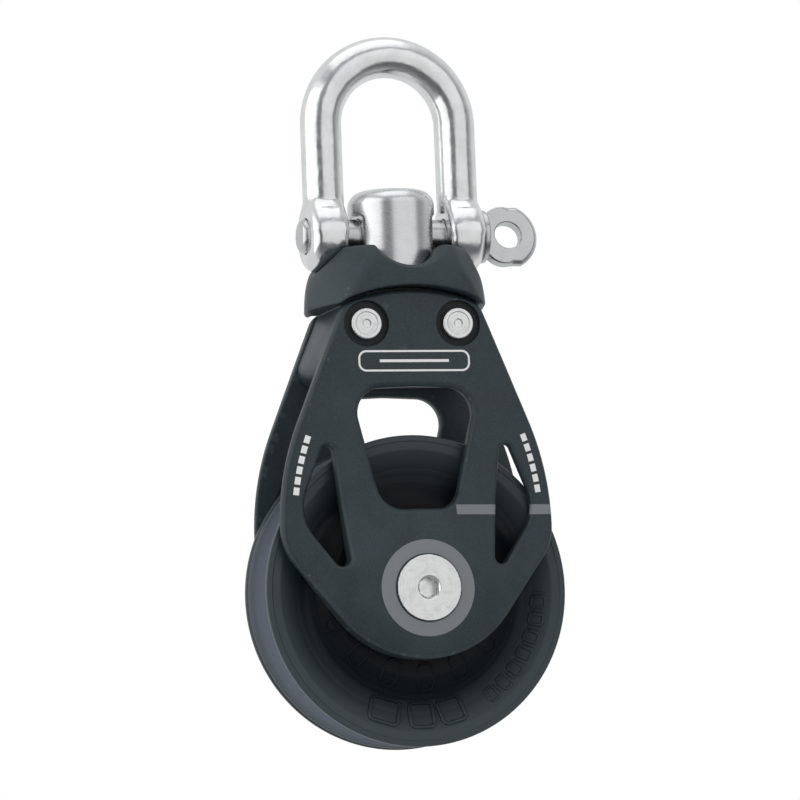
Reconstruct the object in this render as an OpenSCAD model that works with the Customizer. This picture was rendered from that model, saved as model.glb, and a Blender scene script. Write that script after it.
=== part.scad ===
// Single sheave block with forged cheeks, a push-to-lock swivel post and a D shackle.
// Millimetres. Origin on the axle at the middle of the sheave, +Z up to the shackle, -Y to the front.
// Shapes marked "half" are written for the rear side (+Y) and mirrored for the front one.

/* [Sheave] */
// Outside diameter of the sheave
sheave_d = 45; // [44:0.5:45.5]
// Width of the sheave over its two rims
sheave_w = 12.2; // [11.8:0.1:12.6]
// Diameter at the bottom of the rope groove
groove_d = 32.4; // [31.6:0.2:33]
// Radius of the rope groove's cross-section
groove_r = 4.3; // [4.1:0.1:4.4]
// Diameter of the raised ring around the sheave's hub
hub_d = 26.4; // [26:0.2:26.8]

/* [Axle] */
// Outside diameter of the axle tube
axle_d = 10; // [9.8:0.1:10.2]
// Length of the axle tube between its seats in the cheeks
axle_len = 19.2; // [19:0.1:19.4]
// Head diameter of the countersunk axle screws
axle_head_d = 9.7; // [9.2:0.1:10]
// Thread diameter of the axle screws
axle_thread_d = 6; // [5.6:0.1:6]
// Outside diameter of the composite sleeve bushing
bushing_d = 12.8; // [12.6:0.1:13]

/* [Side bearings] */
// Number of balls in each side bearing
ball_count = 12; // [8:1:13]
// Diameter of a side ball
ball_d = 2; // [1.9:0.05:2]
// Diameter of the circle that the ball centres lie on
ball_pcd = 15.8; // [15.7:0.1:16]

/* [Cheeks] */
// Gap between the cheeks' inner faces at their edges
cheek_gap = 13; // [12.8:0.1:13.4]
// Thickness of a cheek at its edge
cheek_t = 2.4; // [2.2:0.1:2.6]
// Thickness of the whole block over the axle bosses
boss_w = 24; // [23.6:0.1:24.2]
// Height of the cheeks' top edge above the axle
cheek_top = 43.35; // [43:0.05:43.5]
// Depth of the cheeks' bottom edge below the axle
cheek_bottom = 10.1; // [9.8:0.1:10.4]
// Half width of a cheek at its widest
cheek_half_w = 20.4; // [20:0.1:20.6]

/* [Head] */
// Height of the shackle pin's axis above the axle
pin_z = 52.2; // [52.1:0.1:52.4]
// Top of the head piece's four corners
head_top = 49.9; // [49.6:0.1:50]
// Half length of the head piece along X
head_half_x = 13.4; // [13.2:0.1:13.6]
// Half width of the head piece along Y
head_half_y = 11; // [10.8:0.1:11.2]
// Travel of the post between its locked and its swivelling position
post_travel = 3.2; // [3:0.1:3.3]

/* [Swivel post] */
// Diameter of the post's drum
drum_d = 12.7; // [12.5:0.1:12.8]
// Top of the drum
drum_top = 59; // [58.8:0.1:59.4]
// Distance across the drum's two flats
drum_flats = 10.6; // [10.2:0.2:11]
// Diameter of the post's shank
shank_d = 8; // [7.8:0.1:8]

/* [Shackle] */
// Rod diameter of the shackle
rod_d = 6; // [5.8:0.1:6.2]
// Distance between the centre lines of the legs
leg_span = 20.4; // [20.2:0.1:20.6]
// Height of the bow's centre above the pin axis
bow_rise = 16.3; // [15.5:0.1:17]
// Diameter of the round ears
ear_d = 10.6; // [10.5:0.1:10.8]
// Distance between the ears' inner faces
ear_gap = 15.4; // [15.2:0.1:15.6]
// Diameter of the pin
pin_d = 5; // [4.8:0.1:5]
// Diameter of the hole in the pin's eye
eye_d = 4; // [3.6:0.1:4.2]
// Angle that the eye is turned about the pin's axis
eye_turn = -12; // [-20:1:20]

/* [Hidden] */
$fn = 96;

fit = 0.05;          // radial clearance of every running fit
slack = 0.3;         // gap between faces that move past each other
big = 60;            // more than any cut has to reach

// Colours
steel = [0.80, 0.80, 0.79];
bright_steel = [0.90, 0.90, 0.90];
dark_alloy = [0.23, 0.24, 0.26];
dark_head = [0.20, 0.21, 0.23];
black_plastic = [0.12, 0.13, 0.14];
amber_plastic = [0.62, 0.50, 0.30];
white_plastic = [0.88, 0.87, 0.82];
rubber = [0.06, 0.06, 0.06];

// Sheave and bearing stack, as distances from the middle plane
rim_y = sheave_w / 2;
hub_y = rim_y - 0.2;
ball_r = ball_d / 2;
ball_y = hub_y + ball_r - 0.15;
race_y = ball_y + ball_r + fit;
race_t = 0.6;
ring_half_w = 1.3;
race_r_in = ball_pcd / 2 - ring_half_w;
race_r_out = ball_pcd / 2 + ring_half_w;
cage_y = hub_y + slack;
cage_t = 1.1;

// Cheeks
cheek_y = cheek_gap / 2;
cheek_face_y = cheek_y + cheek_t;
boss_y = boss_w / 2;
boss_edge_r = 13;
boss_apex_rise = 0.65;
race_seat_y = race_y + race_t;
race_seat_r = race_r_out + 0.2;
tube_seat_y = axle_len / 2;
axle_r = axle_d / 2;
axle_head_r = axle_head_d / 2;
axle_thread_r = axle_thread_d / 2;
axle_head_y = boss_y + 0.1;
head_cone = axle_head_r - axle_thread_r;

// Cheek outline: circles [x, z, r], counter-clockwise, joined by their tangents
corner_r = 8;
corner_z = 9;
flank_r = 40;
crown_r = 26;
crown_z = cheek_top - crown_r;
shoulder_r = 3;
shoulder_x = 8.06;
shoulder_z = crown_z + sqrt(pow(crown_r - shoulder_r, 2) - shoulder_x * shoulder_x);
keel_r = 15.7;
keel_z = keel_r - cheek_bottom;
cheek_outline = [
    [0, keel_z, keel_r],
    [cheek_half_w - corner_r, corner_z, corner_r],
    [cheek_half_w - flank_r, corner_z, flank_r],
    [shoulder_x, shoulder_z, shoulder_r],
    [0, crown_z, crown_r],
    [-shoulder_x, shoulder_z, shoulder_r],
    [flank_r - cheek_half_w, corner_z, flank_r],
    [corner_r - cheek_half_w, corner_z, corner_r]
];
upper_window = [
    [-2.6, 15, 3.5], [2.6, 15, 3.5], [4.9, 25.4, 3.7], [0, 9.3, 20], [-4.9, 25.4, 3.7]
];
side_window = [[11.9, 4.5, 1.1], [10.3, 12, 6.7], [13.4, 19.9, 0.9]];

// Rivets at the top of the cheeks
rivet_x = 6.9;
rivet_z = 38.4;
rivet_r = 1.6;
rivet_head_r = 2.3;
rivet_recess_r = 3.3;
rivet_recess = 0.8;
sleeve_r = 2.5;

// Head piece
drum_r = drum_d / 2;
shank_r = shank_d / 2;
notch_r = ear_d / 2 + 2 * fit;
drum_foot_z = 44.4;
flange_t = 0.8;
flange_r = 5.8;
ceiling_z = 37;
bushing_z = 41.2;
neck_bore_r = shank_r + 0.2;
nut_room = 0.35;
tongue_z = 30.4;
washer_t = 0.8;
washer_r = 4.6;
nut_h = 2.3;
collar_r = 5;
wing_z = 41.3;
head_gap = 0.5;
o_ring_z = 45.4;
o_ring_r = 0.6;
nut_seat_z = ceiling_z - post_travel - washer_t;
drum_crown = 1.6;
drum_edge_z = drum_top - 0.5;
flat_low_z = head_top - 3.8;
flat_top_z = pin_z + 2.9;
head_plan = [
    [8.6, 3.4 - head_half_y, 3], [head_half_x - 4, 0, 4], [8.6, head_half_y - 3.4, 3],
    [6, head_half_y - 4.1, 4.1], [-6, head_half_y - 4.1, 4.1],
    [-8.6, head_half_y - 3.4, 3], [4 - head_half_x, 0, 4], [-8.6, 3.4 - head_half_y, 3],
    [-6, 4.1 - head_half_y, 4.1], [6, 4.1 - head_half_y, 4.1]
];
head_dome = [
    [0, wing_z], [14.1, wing_z], [13.8, 42.5], [13.4, 44], [12.5, 46.4], [11.3, 48.8], [10.6, head_top], [0, head_top]
];
head_side = [
    [head_half_y, wing_z], [head_half_y, 43], [head_half_y - 0.55, 46.5], [head_half_y - 1.35, 48.4],
    [head_half_y - 2.35, head_top]
];
tongue = [[-10.6, 33.1, 2.6], [10.6, 33.1, 2.6], [8.2, 41.2, 1.6], [-8.2, 41.2, 1.6]];

// Shackle
rod_r = rod_d / 2;
leg_x = leg_span / 2;
ear_r = ear_d / 2;
ear_in = ear_gap / 2;
ear_out = leg_x + rod_r;
pin_r = pin_d / 2;
bow_z = pin_z + bow_rise;
neck_z = pin_z + ear_r - 2.2;
neck_r = 3.9;
neck_h = 4.5;
pin_taper = 0.55;
pin_stand = 0.9;
pin_end = ear_out + pin_stand;
pin_collar_r = 3.9;
pin_collar_t = 0.9;
eye_x = 17.6;
eye_t = 2;
eye_outline = [[17, -1.2, 3.25], [19.3, -3.98, 0.5], [17.2, 0, 5], [19.3, 3.98, 0.5], [17, 1.2, 3.25]];

// Normal angle of the outer tangent from circle a to circle b, each [x, z, r]
function tangent(a, b) =
    let (dx = b[0] - a[0], dz = b[1] - a[1], span = norm([dx, dz]))
    atan2(dz, dx) - acos(max(-1, min(1, (a[2] - b[2]) / span)));

// Points on circle c from angle a0 counter-clockwise to angle a1, steps pieces
function sweep(c, a0, a1, steps) =
    let (turn = a1 - a0 - 360 * floor((a1 - a0) / 360))
    [for (i = [0:steps]) [c[0] + c[2] * cos(a0 + turn * i / steps), c[1] + c[2] * sin(a0 + turn * i / steps)]];

// Outline around a list of circles, as arcs joined by tangents
function belt(circles, steps = 8) =
    let (n = len(circles))
    [for (i = [0:n - 1])
        let (before = circles[(i + n - 1) % n], here = circles[i], after = circles[(i + 1) % n])
        each sweep(here, tangent(before, here), tangent(here, after), steps)];

// The same circles, each grown by g
function grown(circles, g) = [for (c = circles) [c[0], c[1], c[2] + g]];

// A list of right-hand points and their mirror image, as one closed outline
function both_sides(pts) = concat(pts, [for (i = [len(pts) - 1:-1:0]) [-pts[i][0], pts[i][1]]]);

// Solid of an X-Z outline between y0 and y1
module slab(pts, y0, y1) {
    translate([0, y1, 0])
        rotate([90, 0, 0])
            linear_extrude(y1 - y0)
                polygon(pts);
}

// Cylinder along Y from y0 to y1
module y_rod(r, y0, y1, x = 0, z = 0) {
    translate([x, y0, z])
        rotate([-90, 0, 0])
            cylinder(r = r, h = y1 - y0);
}

// Cylinder along X from x0 to x1, at the height of the pin axis
module x_rod(r, x0, x1) {
    translate([x0, 0, pin_z])
        rotate([0, 90, 0])
            cylinder(r = r, h = x1 - x0);
}

// Ring of an r-y outline turned about the Y axis
module y_ring(pts) {
    rotate([90, 0, 0])
        rotate_extrude()
            polygon(pts);
}

// Flat washer about the Y axis
module y_washer(r_in, r_out, y0, y1) {
    difference() {
        y_rod(r_out, y0, y1);
        y_rod(r_in, y0 - 1, y1 + 1);
    }
}

// Flat washer about the Z axis
module z_washer(r_in, r_out, z0, z1) {
    translate([0, 0, z0])
        difference() {
            cylinder(r = r_out, h = z1 - z0);
            translate([0, 0, -1])
                cylinder(r = r_in, h = z1 - z0 + 2);
        }
}

// Children drawn on the left and on the right
module left_and_right() {
    children();
    mirror([1, 0, 0])
        children();
}

// ---- Shackle ----

module shackle_leg() {
    translate([leg_x, 0, neck_z])
        cylinder(r = rod_r, h = bow_z - neck_z);
    intersection() {
        translate([leg_x, 0, neck_z])
            cylinder(r1 = neck_r, r2 = rod_r, h = neck_h);
        translate([0, -big, 0])
            cube([ear_out, big * 2, big * 2]);
    }
    x_rod(ear_r, ear_in, ear_out);
}

module shackle_bow() {
    color(bright_steel)
        difference() {
            union() {
                left_and_right()
                    shackle_leg();
                translate([0, 0, bow_z])
                    rotate([90, 0, 0])
                        rotate_extrude(angle = 180)
                            translate([leg_x, 0])
                                circle(r = rod_r);
            }
            x_rod(pin_r + fit, -big, big);
        }
}

module shackle_pin() {
    color(steel)
        union() {
            x_rod(pin_r, -ear_out, ear_out + fit + pin_collar_t);
            translate([-ear_out, 0, pin_z])
                rotate([0, -90, 0])
                    cylinder(r1 = pin_r, r2 = pin_r - pin_taper, h = pin_end - ear_out);
            x_rod(pin_collar_r, ear_out + fit, ear_out + fit + pin_collar_t);
            translate([0, 0, pin_z])
                rotate([eye_turn, 0, 0])
                    difference() {
                        slab(belt(eye_outline), -eye_t / 2, eye_t / 2);
                        y_rod(eye_d / 2, -eye_t, eye_t, eye_x);
                    }
        }
}

// ---- Swivel post ----

module swivel_post() {
    profile = concat(
        [[0, nut_seat_z - nut_h], [shank_r, nut_seat_z - nut_h], [shank_r, drum_foot_z], [drum_r, drum_foot_z]],
        [for (a = [0:15:90]) [drum_r - drum_crown + drum_crown * cos(a), drum_edge_z - drum_crown + drum_crown * sin(a)]],
        [[0, drum_top]]
    );
    color(steel)
        difference() {
            rotate_extrude()
                polygon(profile);
            x_rod(pin_r + fit, -big, big);
            left_and_right()
                translate([drum_flats / 2, -drum_d, flat_low_z])
                    cube([drum_d, drum_d * 2, flat_top_z - flat_low_z]);
        }
}

module post_nut() {
    color(steel)
        translate([0, 0, nut_seat_z - nut_h])
            difference() {
                cylinder(r = collar_r, h = nut_h, $fn = 6);
                translate([0, 0, -1])
                    cylinder(r = shank_r, h = nut_h + 2);
            }
}

module post_washer() {
    color(bright_steel)
        z_washer(shank_r + fit, washer_r, nut_seat_z, nut_seat_z + washer_t);
}

module post_bushing() {
    color(white_plastic)
        union() {
            z_washer(shank_r + fit, collar_r, bushing_z, drum_foot_z);
            z_washer(collar_r, flange_r, drum_foot_z - flange_t, drum_foot_z);
        }
}

module post_o_ring() {
    color(rubber)
        translate([0, 0, o_ring_z])
            rotate_extrude()
                translate([drum_r + 0.02 + o_ring_r, 0])
                    circle(r = o_ring_r, $fn = 32);
}

// ---- Head ----

module saddle_solid() {
    intersection() {
        rotate_extrude()
            polygon(head_dome);
        rotate([0, 0, 90])
            slab(both_sides(head_side), -big, big);
        linear_extrude(big)
            polygon(belt(head_plan));
    }
}

module head_piece() {
    color(dark_head)
        difference() {
            union() {
                saddle_solid();
                slab(belt(tongue), -cheek_y, cheek_y);
            }
            // Room for the tops of the two cheeks
            for (side = [0, 180])
                rotate([0, 0, side])
                    slab(belt(grown(cheek_outline, head_gap)), cheek_y, big);
            // Four notches that take the shackle's ears
            x_rod(notch_r, -big, big);
            rotate([0, 0, 90])
                x_rod(notch_r, -big, big);
            // Drum bore, bushing seats, neck bore and nut chamber
            translate([0, 0, drum_foot_z])
                cylinder(r = drum_r + fit, h = big);
            translate([0, 0, drum_foot_z - flange_t])
                cylinder(r = flange_r, h = big);
            translate([0, 0, bushing_z])
                cylinder(r = collar_r, h = big);
            translate([0, 0, tongue_z - 1])
                cylinder(r = neck_bore_r, h = big);
            translate([0, 0, tongue_z - 1])
                cylinder(r = collar_r + nut_room, h = ceiling_z - tongue_z + 1);
            z_washer(drum_r - 1, drum_r + 2 * o_ring_r + 0.05, o_ring_z - o_ring_r, o_ring_z + o_ring_r);
            left_and_right()
                y_rod(sleeve_r, -big, big, rivet_x, rivet_z);
        }
}

module head_rivets() {
    head_y = cheek_face_y - rivet_recess;
    color(bright_steel)
        left_and_right()
            union() {
                y_rod(rivet_r, -head_y, head_y, rivet_x, rivet_z);
                y_rod(rivet_head_r, head_y, cheek_face_y, rivet_x, rivet_z);
                y_rod(rivet_head_r, -cheek_face_y, -head_y, rivet_x, rivet_z);
            }
}

module rivet_sleeves() {
    color(steel)
        left_and_right()
            difference() {
                y_rod(sleeve_r, -cheek_y, cheek_y, rivet_x, rivet_z);
                y_rod(rivet_r, -big, big, rivet_x, rivet_z);
            }
}

// ---- Cheeks ----

// Rear cheek: flat at its edge, domed out to the axle boss
module cheek_half() {
    rise = boss_y + boss_apex_rise - cheek_face_y;
    dome_r = (boss_edge_r * boss_edge_r + rise * rise) / (2 * rise);
    difference() {
        intersection() {
            slab(belt(cheek_outline), cheek_y, boss_y);
            union() {
                translate([-big, 0, -big])
                    cube([big * 2, cheek_face_y, big * 2]);
                translate([0, cheek_face_y + rise - dome_r, 0])
                    sphere(r = dome_r);
            }
        }
        slab(belt(upper_window), 0, big);
        left_and_right()
            slab(belt(side_window), 0, big);
        // Seats of the thrust race and of the axle tube, and the countersunk screw hole
        y_rod(race_seat_r, 0, race_seat_y);
        y_rod(axle_r, 0, tube_seat_y);
        y_rod(axle_thread_r, 0, big);
        translate([0, axle_head_y - head_cone, 0])
            rotate([-90, 0, 0])
                cylinder(r1 = axle_thread_r, r2 = axle_head_r, h = head_cone);
        left_and_right() {
            y_rod(rivet_r, 0, big, rivet_x, rivet_z);
            y_rod(rivet_recess_r, cheek_face_y - rivet_recess, big, rivet_x, rivet_z);
        }
    }
}

module rear_cheek() {
    color(dark_alloy)
        cheek_half();
}

module front_cheek() {
    color(dark_alloy)
        mirror([0, 1, 0])
            cheek_half();
}

// ---- Axle ----

module axle_tube() {
    color(steel)
        y_washer(axle_thread_r, axle_r, -tube_seat_y, tube_seat_y);
}

module axle_screw_half() {
    socket_r = 1.75;
    socket_depth = 1.8;
    color(bright_steel)
        difference() {
            union() {
                y_rod(axle_thread_r, 1, axle_head_y - head_cone);
                translate([0, axle_head_y - head_cone, 0])
                    rotate([-90, 0, 0])
                        cylinder(r1 = axle_thread_r, r2 = axle_head_r, h = head_cone);
            }
            translate([0, axle_head_y - socket_depth, 0])
                rotate([-90, 0, 0])
                    cylinder(r = socket_r, h = big, $fn = 6);
        }
}

module rear_axle_screw() {
    axle_screw_half();
}

module front_axle_screw() {
    mirror([0, 1, 0])
        axle_screw_half();
}

module thrust_race_half() {
    color(bright_steel)
        y_washer(race_r_in, race_r_out, race_y, race_seat_y);
}

module rear_thrust_race() {
    thrust_race_half();
}

module front_thrust_race() {
    mirror([0, 1, 0])
        thrust_race_half();
}

// ---- Side bearings ----

module ball_cage_half() {
    color(amber_plastic)
        difference() {
            y_washer(race_r_in, race_r_out, cage_y, cage_y + cage_t);
            for (i = [0:ball_count - 1])
                rotate([0, i * 360 / ball_count, 0])
                    y_rod(ball_r + fit, 0, big, ball_pcd / 2);
        }
}

module balls_half() {
    color(white_plastic)
        for (i = [0:ball_count - 1])
            rotate([0, i * 360 / ball_count, 0])
                translate([ball_pcd / 2, ball_y, 0])
                    sphere(r = ball_r, $fn = 32);
}

module rear_ball_cage() {
    ball_cage_half();
}

module front_ball_cage() {
    mirror([0, 1, 0])
        ball_cage_half();
}

module rear_balls() {
    balls_half();
}

module front_balls() {
    mirror([0, 1, 0])
        balls_half();
}

// ---- Sheave ----

module sleeve_bushing() {
    color(amber_plastic)
        y_washer(axle_r + fit, bushing_d / 2, -hub_y + 0.1, hub_y - 0.1);
}

module sheave() {
    rim_r = sheave_d / 2;
    hub_r = hub_d / 2;
    groove_mouth = groove_r - 0.15;
    dish_r = 16.3;
    dish_y = 4.35;
    track_r = ball_r + 0.06;
    // Rear half of the section, from the bore out over the hub, the dish and the rim
    side = [
        [bushing_d / 2, hub_y], [hub_r - 0.6, hub_y], [hub_r + 0.2, hub_y - 0.3], [dish_r - 1.6, dish_y + 0.6],
        [dish_r - 0.6, dish_y], [dish_r + 0.6, dish_y], [dish_r + 2, dish_y + 0.6], [rim_r - 2, rim_y - 0.15],
        [rim_r - 0.8, rim_y], [rim_r - 0.2, rim_y - 0.1], [rim_r, rim_y - 0.5], [rim_r, groove_mouth]
    ];
    groove = [
        for (a = [75:-15:-75])
            [groove_d / 2 + groove_r - groove_r * cos(a), groove_mouth * sin(a) / sin(75)]
    ];
    section = concat(side, groove, [for (i = [len(side) - 1:-1:0]) [side[i][0], -side[i][1]]]);
    color(black_plastic)
        difference() {
            y_ring(section);
            // Tracks for the side balls
            for (side_y = [-ball_y, ball_y])
                y_ring([for (a = [0:15:345]) [ball_pcd / 2 + track_r * cos(a), side_y + track_r * sin(a)]]);
        }
}

shackle_bow();
shackle_pin();
swivel_post();
post_nut();
post_washer();
post_bushing();
post_o_ring();
head_piece();
head_rivets();
rivet_sleeves();
front_cheek();
rear_cheek();
axle_tube();
front_axle_screw();
rear_axle_screw();
front_thrust_race();
rear_thrust_race();
front_ball_cage();
front_balls();
rear_ball_cage();
rear_balls();
sleeve_bushing();
sheave();
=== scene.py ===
"""Looks of the single sheave block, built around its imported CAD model.

Shapes are written in millimetres, in the CAD model's frame: origin on the axle at the middle of the
sheave, +Z up to the shackle, -Y to the front. A solid shape is a field: a function of x, y and z that
is negative inside the piece. The bearing, the post's fastenings and the rivets' sleeves stay the CAD
model's own meshes and only get materials here.
"""

import math

import bpy
import numpy as np
from mathutils import Matrix, Vector


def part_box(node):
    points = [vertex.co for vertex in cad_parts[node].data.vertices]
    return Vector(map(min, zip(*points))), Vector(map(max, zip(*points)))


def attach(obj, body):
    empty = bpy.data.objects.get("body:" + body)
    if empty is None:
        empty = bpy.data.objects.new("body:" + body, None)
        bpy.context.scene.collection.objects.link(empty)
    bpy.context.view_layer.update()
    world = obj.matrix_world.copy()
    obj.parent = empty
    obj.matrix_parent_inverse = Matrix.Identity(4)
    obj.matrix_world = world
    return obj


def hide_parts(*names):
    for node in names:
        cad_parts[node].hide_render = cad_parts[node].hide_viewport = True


MM = 0.001
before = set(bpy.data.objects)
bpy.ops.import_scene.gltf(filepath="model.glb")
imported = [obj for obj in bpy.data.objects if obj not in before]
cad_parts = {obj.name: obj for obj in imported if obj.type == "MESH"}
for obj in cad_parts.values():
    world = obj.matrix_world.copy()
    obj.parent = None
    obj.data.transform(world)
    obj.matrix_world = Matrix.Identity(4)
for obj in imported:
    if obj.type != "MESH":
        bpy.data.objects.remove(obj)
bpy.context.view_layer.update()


def box_mm(node):
    """The lowest and highest corners of a CAD node, in millimetres."""
    low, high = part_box(node)
    return np.array(low) / MM, np.array(high) / MM


# ---- Sizes, read from the CAD model or the same as in its source ----

HAIR = 0.02  # how far some surfaces stand off from the size that they share with another
SHEAVE_HIGH = box_mm("sheave")[1]
SHEAVE_R = SHEAVE_HIGH[0] - HAIR
RIM_Y = SHEAVE_HIGH[1]
CHEEK_LOW, CHEEK_HIGH = box_mm("rear_cheek")
CHEEK_IN = CHEEK_LOW[1]
BOSS_Y = CHEEK_HIGH[1]
CHEEK_HALF_W = CHEEK_HIGH[0]
CHEEK_TOP = CHEEK_HIGH[2]
CHEEK_BOTTOM = CHEEK_LOW[2]
CHEEK_OUT = CHEEK_IN + 2.4
HEAD_X, HEAD_Y, HEAD_TOP = box_mm("head_piece")[1]
POST_LOW, POST_HIGH = box_mm("swivel_post")
POST_FOOT = POST_LOW[2]
DRUM_R = POST_HIGH[0]
DRUM_TOP = POST_HIGH[2]
BOW_LOW, BOW_HIGH = box_mm("shackle_bow")
ROD_R = 3.0
LEG_X = BOW_HIGH[0] - ROD_R
BOW_Z = BOW_HIGH[2] - ROD_R - LEG_X
EAR_R = BOW_HIGH[1]
EAR_IN = 7.7
EAR_OUT = BOW_HIGH[0]
PIN_Z = BOW_LOW[2] + EAR_R
PIN_START = box_mm("shackle_pin")[0][0]
PIN_R = 2.5
SCREW_Y = box_mm("rear_axle_screw")[1][1]
SCREW_HEAD_R = 4.85
SCREW_R = 3.0
RIVET_X, RIVET_Z = 6.9, 38.4
RIVET_RECESS_R, RIVET_RECESS = 3.3, 0.8
RIVET_HEAD_R, RIVET_R = 2.3, 1.6
DRUM_FOOT_Z = 44.4
EYE_TURN = math.radians(-12)
EYE_X, EYE_HOLE_R, EYE_T = 17.6, 2.0, 2.0

# Outlines are circles (across, up, radius), counter-clockwise, joined by their tangents
CHEEK_WIDEST_Z = 9
CHEEK_FLANK_R = 40
CHEEK_SHOULDER_R = 8
CHEEK_CHIN_R = 15.7
CHEEK_CROWN_R = 26
CROWN_END_R = 3
CROWN_END_X = 8.06
CROWN_Z = CHEEK_TOP - CHEEK_CROWN_R
CROWN_END_Z = CROWN_Z + math.sqrt((CHEEK_CROWN_R - CROWN_END_R) ** 2 - CROWN_END_X**2)
CHEEK_OUTLINE = [
    (0, CHEEK_CHIN_R + CHEEK_BOTTOM, CHEEK_CHIN_R),
    (CHEEK_HALF_W - CHEEK_SHOULDER_R, CHEEK_WIDEST_Z, CHEEK_SHOULDER_R),
    (CHEEK_HALF_W - CHEEK_FLANK_R, CHEEK_WIDEST_Z, CHEEK_FLANK_R),
    (CROWN_END_X, CROWN_END_Z, CROWN_END_R),
    (0, CROWN_Z, CHEEK_CROWN_R),
    (-CROWN_END_X, CROWN_END_Z, CROWN_END_R),
    (CHEEK_FLANK_R - CHEEK_HALF_W, CHEEK_WIDEST_Z, CHEEK_FLANK_R),
    (CHEEK_SHOULDER_R - CHEEK_HALF_W, CHEEK_WIDEST_Z, CHEEK_SHOULDER_R),
]
UPPER_WINDOW = [(-2.6, 15, 3.5), (2.6, 15, 3.5), (4.9, 25.4, 3.7), (0, 9.3, 20), (-4.9, 25.4, 3.7)]
SIDE_WINDOW = [(11.9, 4.5, 1.1), (10.3, 12, 6.7), (13.4, 19.9, 0.9)]
HEAD_END_R = 4
HEAD_CORNER_X, HEAD_CORNER_Y, HEAD_CORNER_R = 8.6, HEAD_Y - 3.4, 3
HEAD_FACE_X, HEAD_FACE_R = 6, 4.1
HEAD_FACE_Y = HEAD_Y - HEAD_FACE_R
HEAD_PLAN = [
    (HEAD_CORNER_X, -HEAD_CORNER_Y, HEAD_CORNER_R),
    (HEAD_X - HEAD_END_R, 0, HEAD_END_R),
    (HEAD_CORNER_X, HEAD_CORNER_Y, HEAD_CORNER_R),
    (HEAD_FACE_X, HEAD_FACE_Y, HEAD_FACE_R),
    (-HEAD_FACE_X, HEAD_FACE_Y, HEAD_FACE_R),
    (-HEAD_CORNER_X, HEAD_CORNER_Y, HEAD_CORNER_R),
    (HEAD_END_R - HEAD_X, 0, HEAD_END_R),
    (-HEAD_CORNER_X, -HEAD_CORNER_Y, HEAD_CORNER_R),
    (-HEAD_FACE_X, -HEAD_FACE_Y, HEAD_FACE_R),
    (HEAD_FACE_X, -HEAD_FACE_Y, HEAD_FACE_R),
]
TONGUE = [(-10.6, 33.1, 2.6), (10.6, 33.1, 2.6), (8.2, 41.2, 1.6), (-8.2, 41.2, 1.6)]
EYE_OUTLINE = [(17, -1.2, 3.25), (19.3, -3.98, 0.5), (17.2, 0, 5), (19.3, 3.98, 0.5), (17, 1.2, 3.25)]


# ---- Fields ----

FAR = 1e9


def tangent(a, b):
    """Normal angle of the outer tangent from circle a to circle b."""
    across, up = b[0] - a[0], b[1] - a[1]
    share = (a[2] - b[2]) / math.hypot(across, up)
    return math.atan2(up, across) - math.acos(max(-1.0, min(1.0, share)))


def belt(circles, x, z):
    """Signed distance from (x, z) to the convex outline round the circles."""
    best = np.full(np.shape(x), FAR)
    for i, (cx, cz, r) in enumerate(circles):
        after = circles[(i + 1) % len(circles)]
        start = tangent(circles[i - 1], circles[i])
        end = tangent(circles[i], after)
        turn = (end - start) % (2 * math.pi)
        angle = (np.arctan2(z - cz, x - cx) - start) % (2 * math.pi)
        arc = np.where(angle <= turn, np.hypot(x - cx, z - cz) - r, FAR)
        best = np.where(np.abs(arc) < np.abs(best), arc, best)
        nx, nz = math.cos(end), math.sin(end)
        px, pz = cx + r * nx, cz + r * nz
        length = math.hypot(after[0] + after[2] * nx - px, after[1] + after[2] * nz - pz)
        along = (x - px) * -nz + (z - pz) * nx
        line = (x - px) * nx + (z - pz) * nz
        line = np.where((along >= 0) & (along <= length), line, FAR)
        best = np.where(np.abs(line) < np.abs(best), line, best)
    return best


def both(a, b, r=0.0):
    """Where two fields overlap, with the edge rounded to radius r."""
    if r == 0:
        return np.maximum(a, b)
    return np.minimum(np.maximum(a, b), -r) + np.hypot(np.maximum(a + r, 0), np.maximum(b + r, 0))


def either(a, b, r=0.0):
    """Two fields joined, with a fillet of radius r."""
    return -both(-a, -b, r)


def less(a, b, r=0.0):
    """Field a with field b cut away, with the edge rounded to radius r."""
    return both(a, -b, r)


def bevel(a, b, width):
    """Field of the flat that cuts the edge between a and b, width wide on each."""
    return (a + b + width) / math.sqrt(2)


def gradient(field, points, step=0.01):
    """The field's slope at each point."""
    slope = np.empty_like(points)
    for axis in range(3):
        ahead, behind = points.copy(), points.copy()
        ahead[:, axis] += step
        behind[:, axis] -= step
        slope[:, axis] = (field(*ahead.T) - field(*behind.T)) / (2 * step)
    return slope


def settle(field, points, reach, rounds=3):
    """The points moved onto the field's surface."""
    for _ in range(rounds):
        slope = gradient(field, points)
        size = np.maximum((slope**2).sum(1), 0.05)
        step = slope * (field(*points.T) / size)[:, None]
        length = np.linalg.norm(step, axis=1)
        points = points - step * np.minimum(1, reach / np.maximum(length, 1e-9))[:, None]
    return points


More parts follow.
